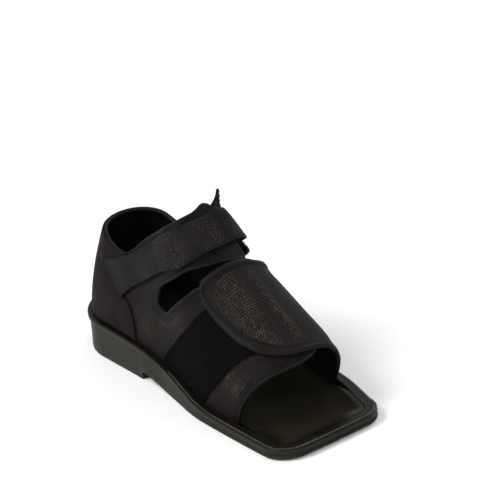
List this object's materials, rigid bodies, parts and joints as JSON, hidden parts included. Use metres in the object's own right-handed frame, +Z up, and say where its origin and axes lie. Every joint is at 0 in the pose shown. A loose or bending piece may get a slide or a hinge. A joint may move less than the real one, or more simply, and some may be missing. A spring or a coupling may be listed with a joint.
{
  "type": "fracture shoe",
  "caption": "Open post-injury shoe: stiff rubber sole with a square toe, fabric upper, wrap-over forefoot flap and hook-and-loop ankle strap.",
  "frame": {"origin": "on the ground plane, under the middle of the sole's bounding box", "axes": "+X to the toe, -Y to the lateral side of this right shoe, +Z up"},
  "size_m": [0.2941, 0.1106, 0.1441],
  "materials": {
    "sole": "satin moulded rubber, dark olive grey",
    "insole": "matt foam",
    "fabric": "black square-weave mesh with a faint sheen",
    "counter": "smooth black coated fabric",
    "loop": "very matt black loop pile",
    "strap": "black brushed webbing"
  },
  "bodies": {
    "root": {"outsole": "sole", "insole": "insole", "upper": "fabric", "heel_counter": "counter", "loop_patch": "loop", "forefoot_flap": "fabric", "ankle_strap": "strap"}
  },
  "joints": []
}
